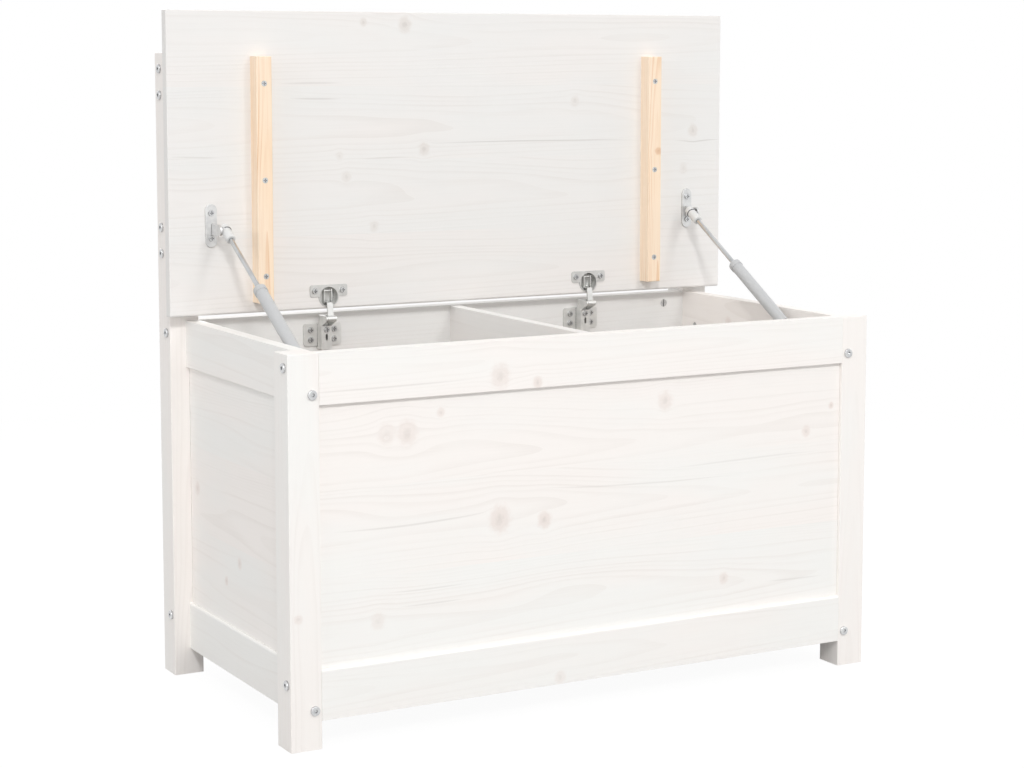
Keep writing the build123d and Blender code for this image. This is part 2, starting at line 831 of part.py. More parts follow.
os.makedirs("parts", exist_ok=True)
for name, piece in bench().items():
    group = piece if isinstance(piece, list) else [piece]
    solids = [solid for shape in group for solid in shape.solids()]
    export_step(Compound(children=solids) if len(solids) > 1 else solids[0], f"parts/{name}.step")
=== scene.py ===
import bmesh
import bpy
import math
from mathutils import Euler, Matrix, Vector


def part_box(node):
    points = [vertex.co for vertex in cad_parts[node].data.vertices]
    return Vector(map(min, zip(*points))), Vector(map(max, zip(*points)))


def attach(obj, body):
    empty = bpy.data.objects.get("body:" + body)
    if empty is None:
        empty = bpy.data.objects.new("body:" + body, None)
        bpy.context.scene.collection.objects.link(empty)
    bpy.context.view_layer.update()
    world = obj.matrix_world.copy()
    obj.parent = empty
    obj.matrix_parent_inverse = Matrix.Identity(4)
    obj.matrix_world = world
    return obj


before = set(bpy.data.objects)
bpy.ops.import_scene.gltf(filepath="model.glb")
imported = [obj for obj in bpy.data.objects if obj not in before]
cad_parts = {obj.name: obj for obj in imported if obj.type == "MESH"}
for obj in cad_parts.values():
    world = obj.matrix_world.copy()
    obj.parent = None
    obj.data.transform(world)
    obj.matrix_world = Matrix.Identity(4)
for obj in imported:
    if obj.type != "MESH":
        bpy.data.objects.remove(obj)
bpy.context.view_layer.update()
scene = bpy.context.scene


# Posts: four square legs planed from solid pine, the rear pair running up to carry the backrest.
# Their cut tops show growth rings. A thin sprayed white stain lets grain and knots through. The lid, and the
# boards inside and behind the box, take a greyer copy of the same stain, which is painted shade.
STAINED_PINE = {
    "cool": "#F6F5F2", "warm": "#F9F4F0", "late": "#E3DCD6", "knot": "#EBDDD6", "heart": "#ABA39B",
}
PINE_PAINTED_SHADE = {
    "cool": "#EAE9E7", "warm": "#EDE9E6", "late": "#DAD5D0", "knot": "#DFD8D2", "heart": "#A59E97",
}
GRAIN_TURN = {"X": (0, 0, 0), "Y": (0, 0, -math.pi / 2), "Z": (0, math.pi / 2, 0)}

# growth rings: their spacing and how far they and the drawn lines wander, in metres, the pith's slope along
# the board, its place in staves, the part of a year that is late wood and how strong the years are
RING_SPACING = 0.0034
RING_WANDER = 0.016
LINE_WANDER = 0.024
PITH_SLOPE = 0.014
PITH_FROM = 0.9
PITH_SPREAD = 0.8
LATE_WOOD = (0.42, 0.96)
YEAR_WEIGHT = (0.12, 1.0)

# staves: how far apart in metres they were cut from the log, how much they differ, and a margin at the edge
STAVE_SLIDE = 7.0
STAVE_TONE = 0.35
EDGE_MARGIN = 0.001

# how often a pattern changes in a metre along the grain, through the board and across it
# fibres are drawn 2 mm wide, not under 1 mm, so that they show
WANDER_RATE = (2.4, 14, 14)
PATCH_RATE = (4.0, 15, 15)
FIBRE_RATE = (14, 480, 480)
RAG_RATE = 200.0

# where the stain's patches turn warm, where they let lines through and how strongly, and the fibres' share
WARM_PATCH = (0.42, 0.92)
THIN_PATCH = (0.34, 0.62)
LINE_WEIGHT = (0.12, 0.62)
FIBRE_WEIGHT = 0.5

# a streak's width in metres, its solid core and its strength
STREAK_WIDTH = 0.0015
STREAK_CORE = 0.35
STREAK_WEIGHT = 0.55

# a knot, in its own radii: its shape along and across the grain, how it parts the lines and how ragged it is,
# then where its spot, rim and heart start, where they are full and their strength there
KNOT_SHAPE = Vector((1.05, 0, 0.9))
KNOT_BLUNT = 0.8
KNOT_PUSH = 1.3
KNOT_RAG = 0.9
KNOT_SPOT = (1.8, 0.7, 0.55)
KNOT_RIM = (0.5, 0.0, 0.05)
KNOT_RIM_RADIUS = 0.9
KNOT_HEART = (0.85, 0.1, 0.24)

# the stained face: its sheen and its relief, whose depth is in metres
PINE_IOR = 1.48
PINE_ROUGH = (0.46, 0.62)
FIBRE_RELIEF = 0.6
PINE_BUMP = 0.20
PINE_DEPTH = 0.0004


def linear(code):
    """An sRGB hex colour as linear red, green, blue and alpha."""
    channels = [int(code[i : i + 2], 16) / 255 for i in (1, 3, 5)]
    return [c / 12.92 if c <= 0.04045 else ((c + 0.055) / 1.055) ** 2.4 for c in channels] + [1.0]


def add(tree, kind, inputs=(), **settings):
    """Adds a node with its settings, and links or fills its inputs."""
    node = tree.nodes.new("ShaderNode" + kind)
    for name, value in settings.items():
        setattr(node, name, value)
    for key, value in dict(inputs).items():
        if isinstance(value, bpy.types.Node):
            value = value.outputs[0]
        if isinstance(value, bpy.types.NodeSocket):
            tree.links.new(value, node.inputs[key])
        else:
            node.inputs[key].default_value = value
    return node


def new_finish(name):
    """An empty material, and its node tree."""
    material = bpy.data.materials.new(name)
    material.use_nodes = True
    material.node_tree.nodes.clear()
    return material, material.node_tree


def wear(node, material):
    """Puts a finish on every material slot of a CAD node."""
    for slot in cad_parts[node].material_slots:
        slot.material = material


def pine(
    node, along, knots=(), streaks=(), staves=1, wood=STAINED_PINE, contrast=0.45, pith=0.045, seed=0.0,
):
    """Solid pine for one board: growth rings round a pith line beside it, fibres, staves, knots and streaks.
    A knot is a point of the bench, a radius and how plain it is, and a streak is a point, a half length and
    how plain it is. All sizes are in metres."""
    turn = Euler(GRAIN_TURN[along])
    to_board = turn.to_matrix()
    low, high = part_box(node)
    middle = to_board @ ((low + high) / 2)
    width = abs((to_board @ (high - low)).z) + EDGE_MARGIN
    stave = width / staves
    material, tree = new_finish("pine_" + node)

    # the board's own axes: along the grain, through the thickness, across the face
    point_of_bench = add(tree, "TexCoord").outputs["Object"]
    place = add(tree, "Mapping", {0: point_of_bench, "Location": -middle, "Rotation": turn})
    axes = add(tree, "SeparateXYZ", {0: place})
    across = add(tree, "Math", {0: axes.outputs[2], 1: width / 2}, operation="ADD")

    # each stave gets its own chances from its number, and its own stretch of the log
    number = add(tree, "Math", {0: across, 1: stave}, operation="DIVIDE")
    number = add(tree, "Math", {0: number}, operation="FLOOR")
    number = add(tree, "Math", {0: number, 1: seed}, operation="ADD")
    chance = add(tree, "TexWhiteNoise", {"W": number}, noise_dimensions="1D").outputs["Color"]
    chances = add(tree, "SeparateColor", {0: chance})
    in_stave = add(tree, "Math", {0: across, 1: stave}, operation="FLOORED_MODULO")
    slide = add(tree, "Math", {0: chances.outputs[0], 1: STAVE_SLIDE}, operation="MULTIPLY")
    own = add(tree, "VectorMath", {0: place, 1: add(tree, "CombineXYZ", {0: slide})}, operation="ADD")

    # the grain wanders along the board, and parts round each knot as a stream does round a stone
    wander = add(tree, "VectorMath", {0: own, 1: WANDER_RATE}, operation="MULTIPLY")
    wander = add(tree, "TexNoise", {"Vector": wander, "Scale": 1.0, "Detail": 1.5})
    bend = add(tree, "Math", {0: wander, 1: LINE_WANDER, 2: -LINE_WANDER / 2}, operation="MULTIPLY_ADD")
    knot_distances = []
    for point, size, plain in knots:
        centre = to_board @ Vector(point) - middle
        scale = KNOT_SHAPE / size
        near = add(tree, "VectorMath", {0: place, 1: scale, 2: -centre * scale}, operation="MULTIPLY_ADD")
        distance = add(tree, "VectorMath", {0: near}, operation="LENGTH").outputs["Value"]
        knot_distances.append((distance, plain))
        squared = add(tree, "Math", {0: distance, 1: distance, 2: KNOT_BLUNT}, operation="MULTIPLY_ADD")
        beside = add(tree, "SeparateXYZ", {0: near}).outputs[2]
        parting = add(tree, "Math", {0: beside, 1: squared}, operation="DIVIDE")
        bend = add(tree, "Math", {0: parting, 1: -KNOT_PUSH * size, 2: bend}, operation="MULTIPLY_ADD")

    # growth rings: distance from the pith line, which runs at a slight angle to the board
    off_centre = add(tree, "Math", {
        0: chances.outputs[1], 1: PITH_SPREAD * stave, 2: -PITH_FROM * stave,
    }, operation="MULTIPLY_ADD")
    bent_across = add(tree, "Math", {0: in_stave, 1: bend}, operation="ADD")
    from_pith = add(tree, "CombineXYZ", {
        1: add(tree, "Math", {0: axes.outputs[1], 1: pith}, operation="ADD"),
        2: add(tree, "Math", {0: bent_across, 1: off_centre}, operation="ADD"),
    })
    radius = add(tree, "VectorMath", {0: from_pith}, operation="LENGTH").outputs["Value"]
    radius = add(tree, "Math", {0: axes.outputs[0], 1: PITH_SLOPE, 2: radius}, operation="MULTIPLY_ADD")
    radius = add(tree, "Math", {0: wander, 1: RING_WANDER, 2: radius}, operation="MULTIPLY_ADD")
    ring = add(tree, "Math", {0: radius, 1: RING_SPACING}, operation="DIVIDE")
    late_wood = add(tree, "MapRange", {
        0: add(tree, "Math", {0: ring}, operation="FRACT"), 1: LATE_WOOD[0], 2: LATE_WOOD[1],
    }, interpolation_type="SMOOTHSTEP")
    year = add(tree, "Math", {0: ring}, operation="FLOOR")
    year = add(tree, "TexWhiteNoise", {"W": year}, noise_dimensions="1D").outputs["Value"]
    year_weight = add(tree, "MapRange", {0: year, 3: YEAR_WEIGHT[0], 4: YEAR_WEIGHT[1]})
    bands = add(tree, "Math", {0: late_wood, 1: year_weight}, operation="MULTIPLY")

    # the stain lies unevenly, so lines come and go, and fibres show all over
    patch = add(tree, "VectorMath", {0: own, 1: PATCH_RATE}, operation="MULTIPLY")
    patch = add(tree, "TexNoise", {"Vector": patch, "Scale": 1.0, "Detail": 2.0})
    fibre = add(tree, "VectorMath", {0: own, 1: FIBRE_RATE}, operation="MULTIPLY")
    fibre = add(tree, "TexNoise", {"Vector": fibre, "Scale": 1.0, "Detail": 2.0})
    warmth = add(tree, "Math", {0: chances.outputs[2], 1: STAVE_TONE, 2: patch}, operation="MULTIPLY_ADD")
    warmth = add(tree, "MapRange", {
        0: warmth, 1: WARM_PATCH[0], 2: WARM_PATCH[1],
    }, interpolation_type="SMOOTHSTEP")
    ground = add(tree, "Mix", {
        0: warmth, 6: linear(wood["cool"]), 7: linear(wood["warm"]),
    }, data_type="RGBA").outputs[2]
    shown = add(tree, "MapRange", {
        0: patch, 1: THIN_PATCH[0], 2: THIN_PATCH[1],
        3: LINE_WEIGHT[0] * contrast, 4: LINE_WEIGHT[1] * contrast,
    })
    lines = add(tree, "Math", {0: bands, 1: shown}, operation="MULTIPLY")
    lines = add(tree, "Math", {0: lines, 1: FIBRE_WEIGHT / 2 * contrast}, operation="SUBTRACT")
    grain = add(tree, "Math", {
        0: fibre, 1: FIBRE_WEIGHT * contrast, 2: lines,
    }, operation="MULTIPLY_ADD", use_clamp=True)
    colour = add(tree, "Mix", {0: grain, 6: ground, 7: linear(wood["late"])}, data_type="RGBA").outputs[2]

    # streaks are single dark rings that follow the bent grain
    heart_wood = linear(wood["heart"])
    bent = add(tree, "VectorMath", {0: place, 1: add(tree, "CombineXYZ", {2: bend})}, operation="ADD")
    for point, half_length, plain in streaks:
        centre = to_board @ Vector(point) - middle
        scale = Vector((1 / half_length, 0, 1 / STREAK_WIDTH))
        near = add(tree, "VectorMath", {0: bent, 1: scale, 2: -centre * scale}, operation="MULTIPLY_ADD")
        distance = add(tree, "VectorMath", {0: near}, operation="LENGTH").outputs["Value"]
        mark = add(tree, "MapRange", {
            0: distance, 1: 1.0, 2: STREAK_CORE, 3: 0.0, 4: STREAK_WEIGHT * plain,
        }, interpolation_type="SMOOTHSTEP")
        colour = add(tree, "Mix", {0: mark, 6: colour, 7: heart_wood}, data_type="RGBA").outputs[2]

    # a knot is a soft warm spot with a faint rim and a darker heart, ragged at a scale of 5 mm
    ragged = add(tree, "TexNoise", {"Vector": own, "Scale": RAG_RATE, "Detail": 2.0})
    for distance, plain in knot_distances:
        edge = add(tree, "Math", {0: distance, 1: KNOT_RAG / 2}, operation="SUBTRACT")
        edge = add(tree, "Math", {0: ragged, 1: KNOT_RAG, 2: edge}, operation="MULTIPLY_ADD")
        from_rim = add(tree, "Math", {0: edge, 1: KNOT_RIM_RADIUS}, operation="SUBTRACT")
        from_rim = add(tree, "Math", {0: from_rim}, operation="ABSOLUTE")
        spot, rim, heart = [
            add(tree, "MapRange", {
                0: away, 1: start, 2: full, 3: 0.0, 4: weight * plain,
            }, interpolation_type="SMOOTHSTEP")
            for away, (start, full, weight) in ((edge, KNOT_SPOT), (from_rim, KNOT_RIM), (edge, KNOT_HEART))
        ]
        colour = add(tree, "Mix", {
            0: spot, 6: colour, 7: linear(wood["knot"]),
        }, data_type="RGBA").outputs[2]
        dark = add(tree, "Math", {0: rim, 1: heart}, operation="MAXIMUM")
        colour = add(tree, "Mix", {0: dark, 6: colour, 7: heart_wood}, data_type="RGBA").outputs[2]

    relief = add(tree, "Math", {0: fibre, 1: FIBRE_RELIEF, 2: bands}, operation="MULTIPLY_ADD")
    bump = add(tree, "Bump", {"Height": relief, "Strength": PINE_BUMP, "Distance": PINE_DEPTH})
    sheen = add(tree, "MapRange", {0: fibre, 3: PINE_ROUGH[0], 4: PINE_ROUGH[1]})
    surface = add(tree, "BsdfPrincipled", {
        "Base Color": colour, "Roughness": sheen, "IOR": PINE_IOR, "Normal": bump,
    })
    add(tree, "OutputMaterial", {0: surface})
    wear(node, material)


pine("front_left_post", "Z", seed=1.0, knots=[((-0.383, -0.196, 0.150), 0.004, 0.6)])
pine("front_right_post", "Z", seed=2.0)
pine("rear_left_post", "Z", seed=3.0, knots=[((-0.380, 0.165, 0.620), 0.005, 0.6)])
pine("rear_right_post", "Z", seed=4.0)


# Rails: eight pine boards between the posts, each rounded along the edge that meets its panel.
# They butt against the posts and are pulled tight by the connecting bolts.
pine("front_top_rail", "X", seed=5.0, pith=0.03,
     knots=[((-0.130, -0.2, 0.403), 0.010, 0.7), ((-0.081, -0.2, 0.392), 0.005, 0.9)],
     streaks=[((-0.270, -0.2, 0.402), 0.125, 0.35)])
pine("front_bottom_rail", "X", seed=6.0, pith=0.04, knots=[((-0.050, -0.2, 0.040), 0.006, 0.5)])
pine("left_top_rail", "Y", seed=7.0)
pine("right_top_rail", "Y", seed=8.0, knots=[((0.37, 0.05, 0.41), 0.006, 0.8)])
pine("left_bottom_rail", "Y", seed=9.0)
pine("right_bottom_rail", "Y", seed=10.0)
# the rear rail inside the box takes the greyer copy of the stain, as painted shade
pine("rear_top_rail", "X", wood=PINE_PAINTED_SHADE, seed=11.0, pith=0.03)
pine("rear_bottom_rail", "X", seed=12.0, knots=[((0.12, 0.18, 0.06), 0.007, 0.7)])


# Panels: thin glued-up pine boards that float in grooves of the posts and rails.
# Their staves differ a little in tone, and the front one has the bench's plainest knots.
FRONT_KNOTS = [
    ((-0.272, -0.195, 0.347), 0.009, 0.4), ((-0.246, -0.195, 0.346), 0.010, 0.65),
    ((-0.204, -0.195, 0.366), 0.004, 0.7), ((-0.128, -0.195, 0.236), 0.011, 0.9),
    ((-0.069, -0.195, 0.229), 0.007, 1.0), ((0.097, -0.195, 0.357), 0.008, 0.7),
    ((0.343, -0.195, 0.333), 0.003, 1.0), ((0.305, -0.195, 0.303), 0.005, 0.8),
    ((0.184, -0.195, 0.131), 0.005, 0.7), ((-0.284, -0.195, 0.135), 0.007, 0.45),
]
FRONT_STREAKS = [
    ((-0.235, -0.195, 0.243), 0.120, 0.40), ((0.060, -0.195, 0.262), 0.170, 0.28),
    ((0.215, -0.195, 0.280), 0.130, 0.25), ((-0.220, -0.195, 0.168), 0.060, 0.30),
    ((-0.215, -0.195, 0.150), 0.050, 0.30), ((0.290, -0.195, 0.120), 0.050, 0.30),
]
pine("front_panel", "X", staves=3, seed=13.0, knots=FRONT_KNOTS, streaks=FRONT_STREAKS)
pine("left_panel", "Y", staves=3, seed=14.0, knots=[
    ((-0.368, 0.048, 0.141), 0.004, 0.8), ((-0.368, 0.006, 0.170), 0.005, 0.7),
    ((-0.368, 0.140, 0.238), 0.006, 0.7),
])
pine("right_panel", "Y", staves=3, seed=15.0, knots=[
    ((0.368, -0.06, 0.29), 0.007, 0.8), ((0.368, 0.08, 0.17), 0.005, 0.8),
])
# the rear panel inside the box takes the greyer copy of the stain, as painted shade
pine("rear_panel", "X", wood=PINE_PAINTED_SHADE, staves=3, seed=16.0, knots=[
    ((-0.19, 0.17, 0.30), 0.008, 0.8), ((0.11, 0.17, 0.19), 0.010, 0.9), ((0.27, 0.17, 0.33), 0.006, 0.7),
])


# Backrest: two wider pine rails between the rear posts, one at the top and one above the seat.
# Each is held by a pair of bolts at either end.
# the backrest rails take the greyer copy of the stain, as painted shade
pine("backrest_top_rail", "X", wood=PINE_PAINTED_SHADE, seed=17.0, knots=[((0.16, 0.19, 0.74), 0.008, 0.8)])
pine("backrest_lower_rail", "X", wood=PINE_PAINTED_SHADE, seed=18.0, knots=[((-0.21, 0.19, 0.54), 0.010, 0.8)])


# Floor and divider: a loose pine bottom on two screwed cleats, and an upright board that
# stands on it and halves the box.
# the cleats, floor and divider inside the box take the greyer copy of the stain, as painted shade
pine("front_floor_cleat", "X", wood=PINE_PAINTED_SHADE, seed=19.0)
pine("rear_floor_cleat", "X", wood=PINE_PAINTED_SHADE, seed=20.0)
pine("floor_panel", "X", wood=PINE_PAINTED_SHADE, seed=21.0, pith=0.09)
pine("centre_divider", "Y", wood=PINE_PAINTED_SHADE, staves=3, seed=22.0,
     knots=[((0.007, -0.05, 0.33), 0.007, 0.7)])


# Bolts, barrel nuts and wood screws: turned and headed steel with bright zinc plating.
# Plating clouds slightly and is a little uneven in gloss, and slots and the line round a head are darkened
# with painted shade.
CLOUDED = (0.35, 0.65)
GRITTY = (0.3, 0.7)
GRIT_BUMP = 0.10
GRIT_DEPTH = 0.0001
# painted shade in crevices: how near another surface must be in metres, its dark colour, and the open range
# over which it fades
CREVICE = 0.0015
CREVICE_PAINTED_SHADE = "#4A4A4B"
CREVICE_OPEN = (0.30, 0.80)


def plated_steel(name, colour, cloud, least_rough, most_rough, cloud_size=0.006, grit_size=0.0008):
    """Plated steel: clouds of a lighter tone, fine grit in the gloss, and painted shade where another surface
    is near.
    Sizes are in metres."""
    material, tree = new_finish(name)
    place = add(tree, "TexCoord").outputs["Object"]
    clouds = add(tree, "TexNoise", {"Vector": place, "Scale": 1 / cloud_size, "Detail": 2.0})
    grit = add(tree, "TexNoise", {"Vector": place, "Scale": 1 / grit_size, "Detail": 2.0})
    clouded = add(tree, "MapRange", {0: clouds, 1: CLOUDED[0], 2: CLOUDED[1]})
    tone = add(tree, "Mix", {0: clouded, 6: linear(colour), 7: linear(cloud)}, data_type="RGBA").outputs[2]
    # painted shade: the tone turns dark where another surface is within a millimetre and a half
    room = add(tree, "AmbientOcclusion", {"Distance": CREVICE}, samples=6).outputs["AO"]
    unshaded = add(tree, "MapRange", {0: room, 1: CREVICE_OPEN[0], 2: CREVICE_OPEN[1]})
    tone = add(tree, "Mix", {0: unshaded, 6: linear(CREVICE_PAINTED_SHADE), 7: tone}, data_type="RGBA").outputs[2]
    gloss = add(tree, "MapRange", {0: grit, 1: GRITTY[0], 2: GRITTY[1], 3: least_rough, 4: most_rough})
    bump = add(tree, "Bump", {"Height": grit, "Strength": GRIT_BUMP, "Distance": GRIT_DEPTH})
    surface = add(tree, "BsdfPrincipled", {
        "Base Color": tone, "Metallic": 1.0, "Roughness": gloss, "Normal": bump,
    })
    add(tree, "OutputMaterial", {0: surface})
    return material


zinc_plated_steel = plated_steel("zinc_plated_steel", "#C6C7C9", "#D9DADA", 0.26, 0.40)
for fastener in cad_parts:
    if fastener.endswith(("_bolts", "_nuts", "_screws")):
        wear(fastener, zinc_plated_steel)


# Lid: a glued-up pine board with rounded edges, the seat of the bench, seen here from below.
# It is bored for the hinge cups, its stain is thinner than the box's, and its greyer tone is painted shade.
LID_KNOTS = [
    ((-0.081, 0.141, 0.806), 0.007, 1.0), ((-0.139, 0.141, 0.809), 0.004, 0.8),
    ((-0.055, 0.141, 0.648), 0.006, 0.9), ((-0.164, 0.141, 0.615), 0.005, 0.6),
    ((-0.126, 0.141, 0.552), 0.005, 0.6), ((0.169, 0.141, 0.708), 0.005, 0.6),
    ((0.356, 0.141, 0.666), 0.006, 0.9), ((0.341, 0.141, 0.615), 0.005, 0.5),
    ((-0.173, 0.141, 0.642), 0.004, 0.5),
]
LID_STREAKS = [
    ((0.105, 0.141, 0.656), 0.190, 0.55), ((0.365, 0.141, 0.655), 0.045, 0.55),
    ((-0.205, 0.141, 0.712), 0.040, 0.45), ((-0.210, 0.141, 0.736), 0.050, 0.35),
    ((-0.110, 0.141, 0.640), 0.040, 0.30), ((-0.365, 0.141, 0.648), 0.040, 0.35),
]
pine("lid_board", "X", wood=PINE_PAINTED_SHADE, staves=4, seed=31.0, contrast=0.5,
     knots=LID_KNOTS, streaks=LID_STREAKS)


# Battens: two square strips of bare planed pine, screwed across the lid's underside to keep it flat.
# They have no stain, so the wood is straw yellow with orange late wood.
BARE_PINE = {
    "cool": "#F9E5CE", "warm": "#F8DDBF", "late": "#E0AC79", "knot": "#D39B6C", "heart": "#A2633A",
}
BARE_CONTRAST = 1.2
pine("left_batten", "Z", wood=BARE_PINE, contrast=BARE_CONTRAST, pith=0.016, seed=41.0)
pine("right_batten", "Z", wood=BARE_PINE, contrast=BARE_CONTRAST, pith=0.018, seed=42.0,
     knots=[((0.288, 0.125, 0.640), 0.004, 0.8)])


# Hinges: a pair of concealed cup hinges, pressed from sheet steel and nickel plated, with a soft pale sheen.
# The cup is let into the lid, the arm is screwed to a plate on the rear rail, and a link joins them.
# The deep drawn cups and the links wear a darker copy of the same plating, which is painted shade.
SHEET_ROUGH = (0.40, 0.54)
SHEET_CLOUD = 0.009
nickel_plated_steel = plated_steel(
    "nickel_plated_steel", "#E0E0DE", "#E9E9E7", *SHEET_ROUGH, cloud_size=SHEET_CLOUD,
)
# painted shade: the same nickel plating made darker, for the cups and links
nickel_steel_painted_shade = plated_steel(
    "nickel_plated_steel_painted_shade", "#D2D2D0", "#DCDCDA", *SHEET_ROUGH, cloud_size=SHEET_CLOUD,
)
wear("hinge_arm_pins", nickel_plated_steel)
for side in ("left", "right"):
    wear(f"{side}_hinge_plate", nickel_plated_steel)
    wear(f"{side}_hinge_arm", nickel_plated_steel)
    wear(f"{side}_hinge_cup", nickel_steel_painted_shade)
    wear(f"{side}_hinge_link", nickel_steel_painted_shade)

# in metres: the middle of the right cup's mouth, a cheek's size, and the rivet between the cheeks
CUP_MOUTH = Vector((0.190, 0.141, 0.4659))
CHEEK = Vector((0.0010, 0.0060, 0.0206))
CHEEK_ROUND = 0.0026
CHEEK_SPACING = 0.0102
CHEEK_SINK = 0.0045
RIVET_RADIUS = 0.0014
RIVET_LENGTH = 0.0130
RIVET_RISE = 0.0070
SHARP_EDGE = math.radians(40)


def new_piece(name, mesh, material, body):
    """Makes a piece of a shape in its place, with its finish, and lets it ride on a body."""
    bmesh.ops.recalc_face_normals(mesh, faces=mesh.faces)
    data = bpy.data.meshes.new(name)
    mesh.to_mesh(data)
    mesh.free()
    data.shade_smooth()
    data.set_sharp_from_angle(angle=SHARP_EDGE)
    data.materials.append(material)
    piece = bpy.data.objects.new(name, data)
    scene.collection.objects.link(piece)
    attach(piece, body)


# a pair of pressed cheeks and a rivet fill each cup, with the link's tip between the cheeks
for word, side in (("left", -1), ("right", 1)):
    cheeks = bmesh.new()
    for across in (-1, 1):
        shift = Matrix.Translation((across * CHEEK_SPACING / 2, 0, 0))
        bmesh.ops.create_cube(cheeks, size=1.0, matrix=shift @ Matrix.Diagonal(CHEEK).to_4x4())
    corners = [
        edge for edge in cheeks.edges if abs(edge.verts[0].co.x - edge.verts[1].co.x) > CHEEK.x / 2
    ]
    bmesh.ops.bevel(
        cheeks, geom=corners, offset=CHEEK_ROUND, affect="EDGES", segments=5, profile=0.5, material=-1,
    )
    bmesh.ops.create_cone(
        cheeks, cap_ends=True, segments=24, radius1=RIVET_RADIUS, radius2=RIVET_RADIUS, depth=RIVET_LENGTH,
        matrix=Matrix.Translation((0, 0, RIVET_RISE)) @ Matrix.Rotation(math.pi / 2, 4, "Y"),
    )
    middle = CUP_MOUTH * Vector((side, 1, 1)) + Vector((0, CHEEK_SINK, 0))
    bmesh.ops.translate(cheeks, vec=middle, verts=cheeks.verts)
    new_piece(f"{word}_hinge_cheeks", cheeks, nickel_plated_steel, "lid")


# Gas struts: a chromed rod, bright as a mirror, slides in a tube of satin grey paint, between a ball on the
# lid and a stud on the side rail. The ball snaps into a moulded nylon socket, dull and paler than the paint.
# The brackets are pressed from zinc plated sheet.
PEEL_SPREAD = 0.06
PEEL_BUMP = 0.12
PEEL_DEPTH = 0.0002
SATIN_IOR = 1.5


def satin_paint(name, colour, fleck, rough, peel_size):
    """Sprayed paint, moulded nylon or rubber: a colour flecked with a near one, and a fine orange peel.
    Sizes are in metres."""
    material, tree = new_finish(name)
    place = add(tree, "TexCoord").outputs["Object"]
    peel = add(tree, "TexNoise", {"Vector": place, "Scale": 1 / peel_size, "Detail": 1.0})
    tone = add(tree, "Mix", {0: peel, 6: linear(colour), 7: linear(fleck)}, data_type="RGBA").outputs[2]
    gloss = add(tree, "MapRange", {0: peel, 3: rough - PEEL_SPREAD, 4: rough + PEEL_SPREAD})
    bump = add(tree, "Bump", {"Height": peel, "Strength": PEEL_BUMP, "Distance": PEEL_DEPTH})
    surface = add(tree, "BsdfPrincipled", {
        "Base Color": tone, "Roughness": gloss, "IOR": SATIN_IOR, "Normal": bump,
    })
    add(tree, "OutputMaterial", {0: surface})
    return material


chromed_steel = plated_steel(
    "chromed_steel", "#C2C4C6", "#CECFD0", 0.06, 0.13, cloud_size=0.02, grit_size=0.002,
)
pressed_zinc_steel = plated_steel("pressed_zinc_plated_steel", "#D3D3D3", "#E0E0DF", 0.32, 0.46)
grey_paint = satin_paint("grey_paint", "#B8B9BA", "#C4C5C6", 0.36, 0.0012)
grey_nylon = satin_paint("grey_nylon", "#D4D4D3", "#DEDEDD", 0.46, 0.0016)
for side in ("left", "right"):
    wear(f"{side}_strut_rod", chromed_steel)
    wear(f"{side}_strut_cylinder", grey_paint)
    wear(f"{side}_strut_socket", grey_nylon)
    wear(f"{side}_strut_lid_bracket", pressed_zinc_steel)
    wear(f"{side}_strut_foot_bracket", pressed_zinc_steel)


# Strut fittings: a bent spring wire round each socket locks it on its ball, and a moulded rubber
# wiper closes each cylinder's mouth round the rod. The wire is dark, and the rubber is dull.
BALL_PLACE = Vector((0.337, 0.115, 0.556))
STRUT_FOOT = Vector((0.337, -0.117, 0.418))
SOCKET_RADIUS = 0.006
CLIP_WIRE = 0.0006
CLIP_SWEEP = math.radians(236)
CLIP_FROM_BALL = 0.0015
WIPER_REACH = (0.0032, 0.0052)
WIPER_HEIGHT = 0.0014
WIPER_ROUND = 0.0005
MOUTH_FROM_BALL = 0.1214
TURN_STEPS = 40


def fitting(name, mesh, side, along, material, body):
    """Moves a shape from the Z axis to its place on a strut, a length down from the ball, and makes it a
    piece."""
    run = (STRUT_FOOT - BALL_PLACE).normalized()
    turn = Vector((0, 0, 1)).rotation_difference(run).to_matrix().to_4x4()
    shift = Matrix.Translation((BALL_PLACE + along * run) * Vector((side, 1, 1)))
    bmesh.ops.transform(mesh, matrix=shift @ turn, verts=mesh.verts)
    new_piece(name, mesh, material, body)


